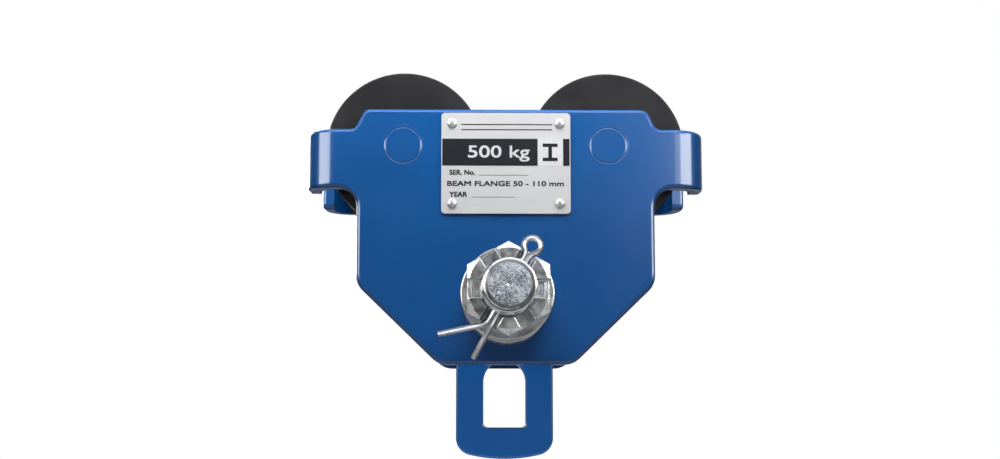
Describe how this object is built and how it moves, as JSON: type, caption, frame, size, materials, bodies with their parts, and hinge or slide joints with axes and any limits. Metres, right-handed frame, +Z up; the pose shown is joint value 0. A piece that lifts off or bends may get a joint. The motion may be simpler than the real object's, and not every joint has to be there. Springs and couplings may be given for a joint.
{
  "type": "beam trolley",
  "caption": "Push trolley for an I-beam: two bent-eared side plates with flanged wheels, joined by a threaded shaft with spacers, castle nuts and a swinging load plate.",
  "frame": {"origin": "midway between the four wheels, at the height where the treads rest on the edges of the beam's lower flange", "axes": "+X along the beam, +Y along the suspension shaft away from the nameplate, +Z up"},
  "size_m": [0.186, 0.237, 0.1821],
  "materials": {
    "blue_paint": "glossy blue powder coat",
    "zinc_plate": "bright zinc plated",
    "wheel_black": "matt blackened steel",
    "plate_aluminium": "satin, printed",
    "rivet_steel": "bright",
    "axle_steel": "turned steel, painted over at the riveted end",
    "bearing_steel": "ground",
    "spring_steel": "phosphated"
  },
  "bodies": {
    "frame": {"front_side_plate": "blue_paint", "rear_side_plate": "blue_paint", "nameplate": "plate_aluminium", "nameplate_rivets": "rivet_steel", "suspension_shaft": "zinc_plate", "front_castle_nut": "zinc_plate", "front_split_pin": "zinc_plate", "front_nut_washer": "zinc_plate", "front_outer_collars": "zinc_plate", "front_outer_adjusting_washer": "zinc_plate", "front_inner_adjusting_washer": "zinc_plate", "front_inner_collars": "zinc_plate", "front_left_axle_pin": "axle_steel", "front_left_bearing_inner_ring": "bearing_steel", "front_left_axle_circlip": "spring_steel", "front_right_axle_pin": "axle_steel", "front_right_bearing_inner_ring": "bearing_steel", "front_right_axle_circlip": "spring_steel", "rear_castle_nut": "zinc_plate", "rear_split_pin": "zinc_plate", "rear_nut_washer": "zinc_plate", "rear_outer_collars": "zinc_plate", "rear_outer_adjusting_washer": "zinc_plate", "rear_inner_adjusting_washer": "zinc_plate", "rear_inner_collars": "zinc_plate", "rear_left_axle_pin": "axle_steel", "rear_left_bearing_inner_ring": "bearing_steel", "rear_left_axle_circlip": "spring_steel", "rear_right_axle_pin": "axle_steel", "rear_right_bearing_inner_ring": "bearing_steel", "rear_right_axle_circlip": "spring_steel"},
    "load_plate": {"load_plate": "blue_paint"},
    "front_left_wheel": {"front_left_wheel": "wheel_black", "front_left_bearing_outer_ring": "bearing_steel", "front_left_bearing_shields": "bearing_steel", "front_left_bore_circlip": "spring_steel"},
    "front_left_cage": {"front_left_bearing_balls": "bearing_steel", "front_left_bearing_cage": "bearing_steel"},
    "front_right_wheel": {"front_right_wheel": "wheel_black", "front_right_bearing_outer_ring": "bearing_steel", "front_right_bearing_shields": "bearing_steel", "front_right_bore_circlip": "spring_steel"},
    "front_right_cage": {"front_right_bearing_balls": "bearing_steel", "front_right_bearing_cage": "bearing_steel"},
    "rear_left_wheel": {"rear_left_wheel": "wheel_black", "rear_left_bearing_outer_ring": "bearing_steel", "rear_left_bearing_shields": "bearing_steel", "rear_left_bore_circlip": "spring_steel"},
    "rear_left_cage": {"rear_left_bearing_balls": "bearing_steel", "rear_left_bearing_cage": "bearing_steel"},
    "rear_right_wheel": {"rear_right_wheel": "wheel_black", "rear_right_bearing_outer_ring": "bearing_steel", "rear_right_bearing_shields": "bearing_steel", "rear_right_bore_circlip": "spring_steel"},
    "rear_right_cage": {"rear_right_bearing_balls": "bearing_steel", "rear_right_bearing_cage": "bearing_steel"}
  },
  "joints": [
    {"name": "load_plate_swing", "type": "hinge", "parent": "frame", "child": "load_plate", "pos_m": [0, 0, -0.0471], "axis": [0, 1, 0], "range_deg": [-90, 90]},
    {"name": "front_left_wheel_spin", "type": "hinge", "parent": "frame", "child": "front_left_wheel", "pos_m": [-0.0474, -0.018, 0.0243], "axis": [0, 1, 0], "continuous": true},
    {"name": "front_left_cage_spin", "type": "hinge", "parent": "frame", "child": "front_left_cage", "pos_m": [-0.0474, -0.018, 0.0243], "axis": [0, 1, 0], "continuous": true},
    {"name": "front_right_wheel_spin", "type": "hinge", "parent": "frame", "child": "front_right_wheel", "pos_m": [0.0474, -0.018, 0.0243], "axis": [0, 1, 0], "continuous": true},
    {"name": "front_right_cage_spin", "type": "hinge", "parent": "frame", "child": "front_right_cage", "pos_m": [0.0474, -0.018, 0.0243], "axis": [0, 1, 0], "continuous": true},
    {"name": "rear_left_wheel_spin", "type": "hinge", "parent": "frame", "child": "rear_left_wheel", "pos_m": [-0.0474, 0.018, 0.0243], "axis": [0, 1, 0], "continuous": true},
    {"name": "rear_left_cage_spin", "type": "hinge", "parent": "frame", "child": "rear_left_cage", "pos_m": [-0.0474, 0.018, 0.0243], "axis": [0, 1, 0], "continuous": true},
    {"name": "rear_right_wheel_spin", "type": "hinge", "parent": "frame", "child": "rear_right_wheel", "pos_m": [0.0474, 0.018, 0.0243], "axis": [0, 1, 0], "continuous": true},
    {"name": "rear_right_cage_spin", "type": "hinge", "parent": "frame", "child": "rear_right_cage", "pos_m": [0.0474, 0.018, 0.0243], "axis": [0, 1, 0], "continuous": true}
  ],
  "couplings": [
    {"joint": "front_left_cage_spin", "follows": "front_left_wheel_spin", "ratio": 0.618},
    {"joint": "front_right_cage_spin", "follows": "front_right_wheel_spin", "ratio": 0.618},
    {"joint": "rear_left_cage_spin", "follows": "rear_left_wheel_spin", "ratio": 0.618},
    {"joint": "rear_right_cage_spin", "follows": "rear_right_wheel_spin", "ratio": 0.618}
  ]
}
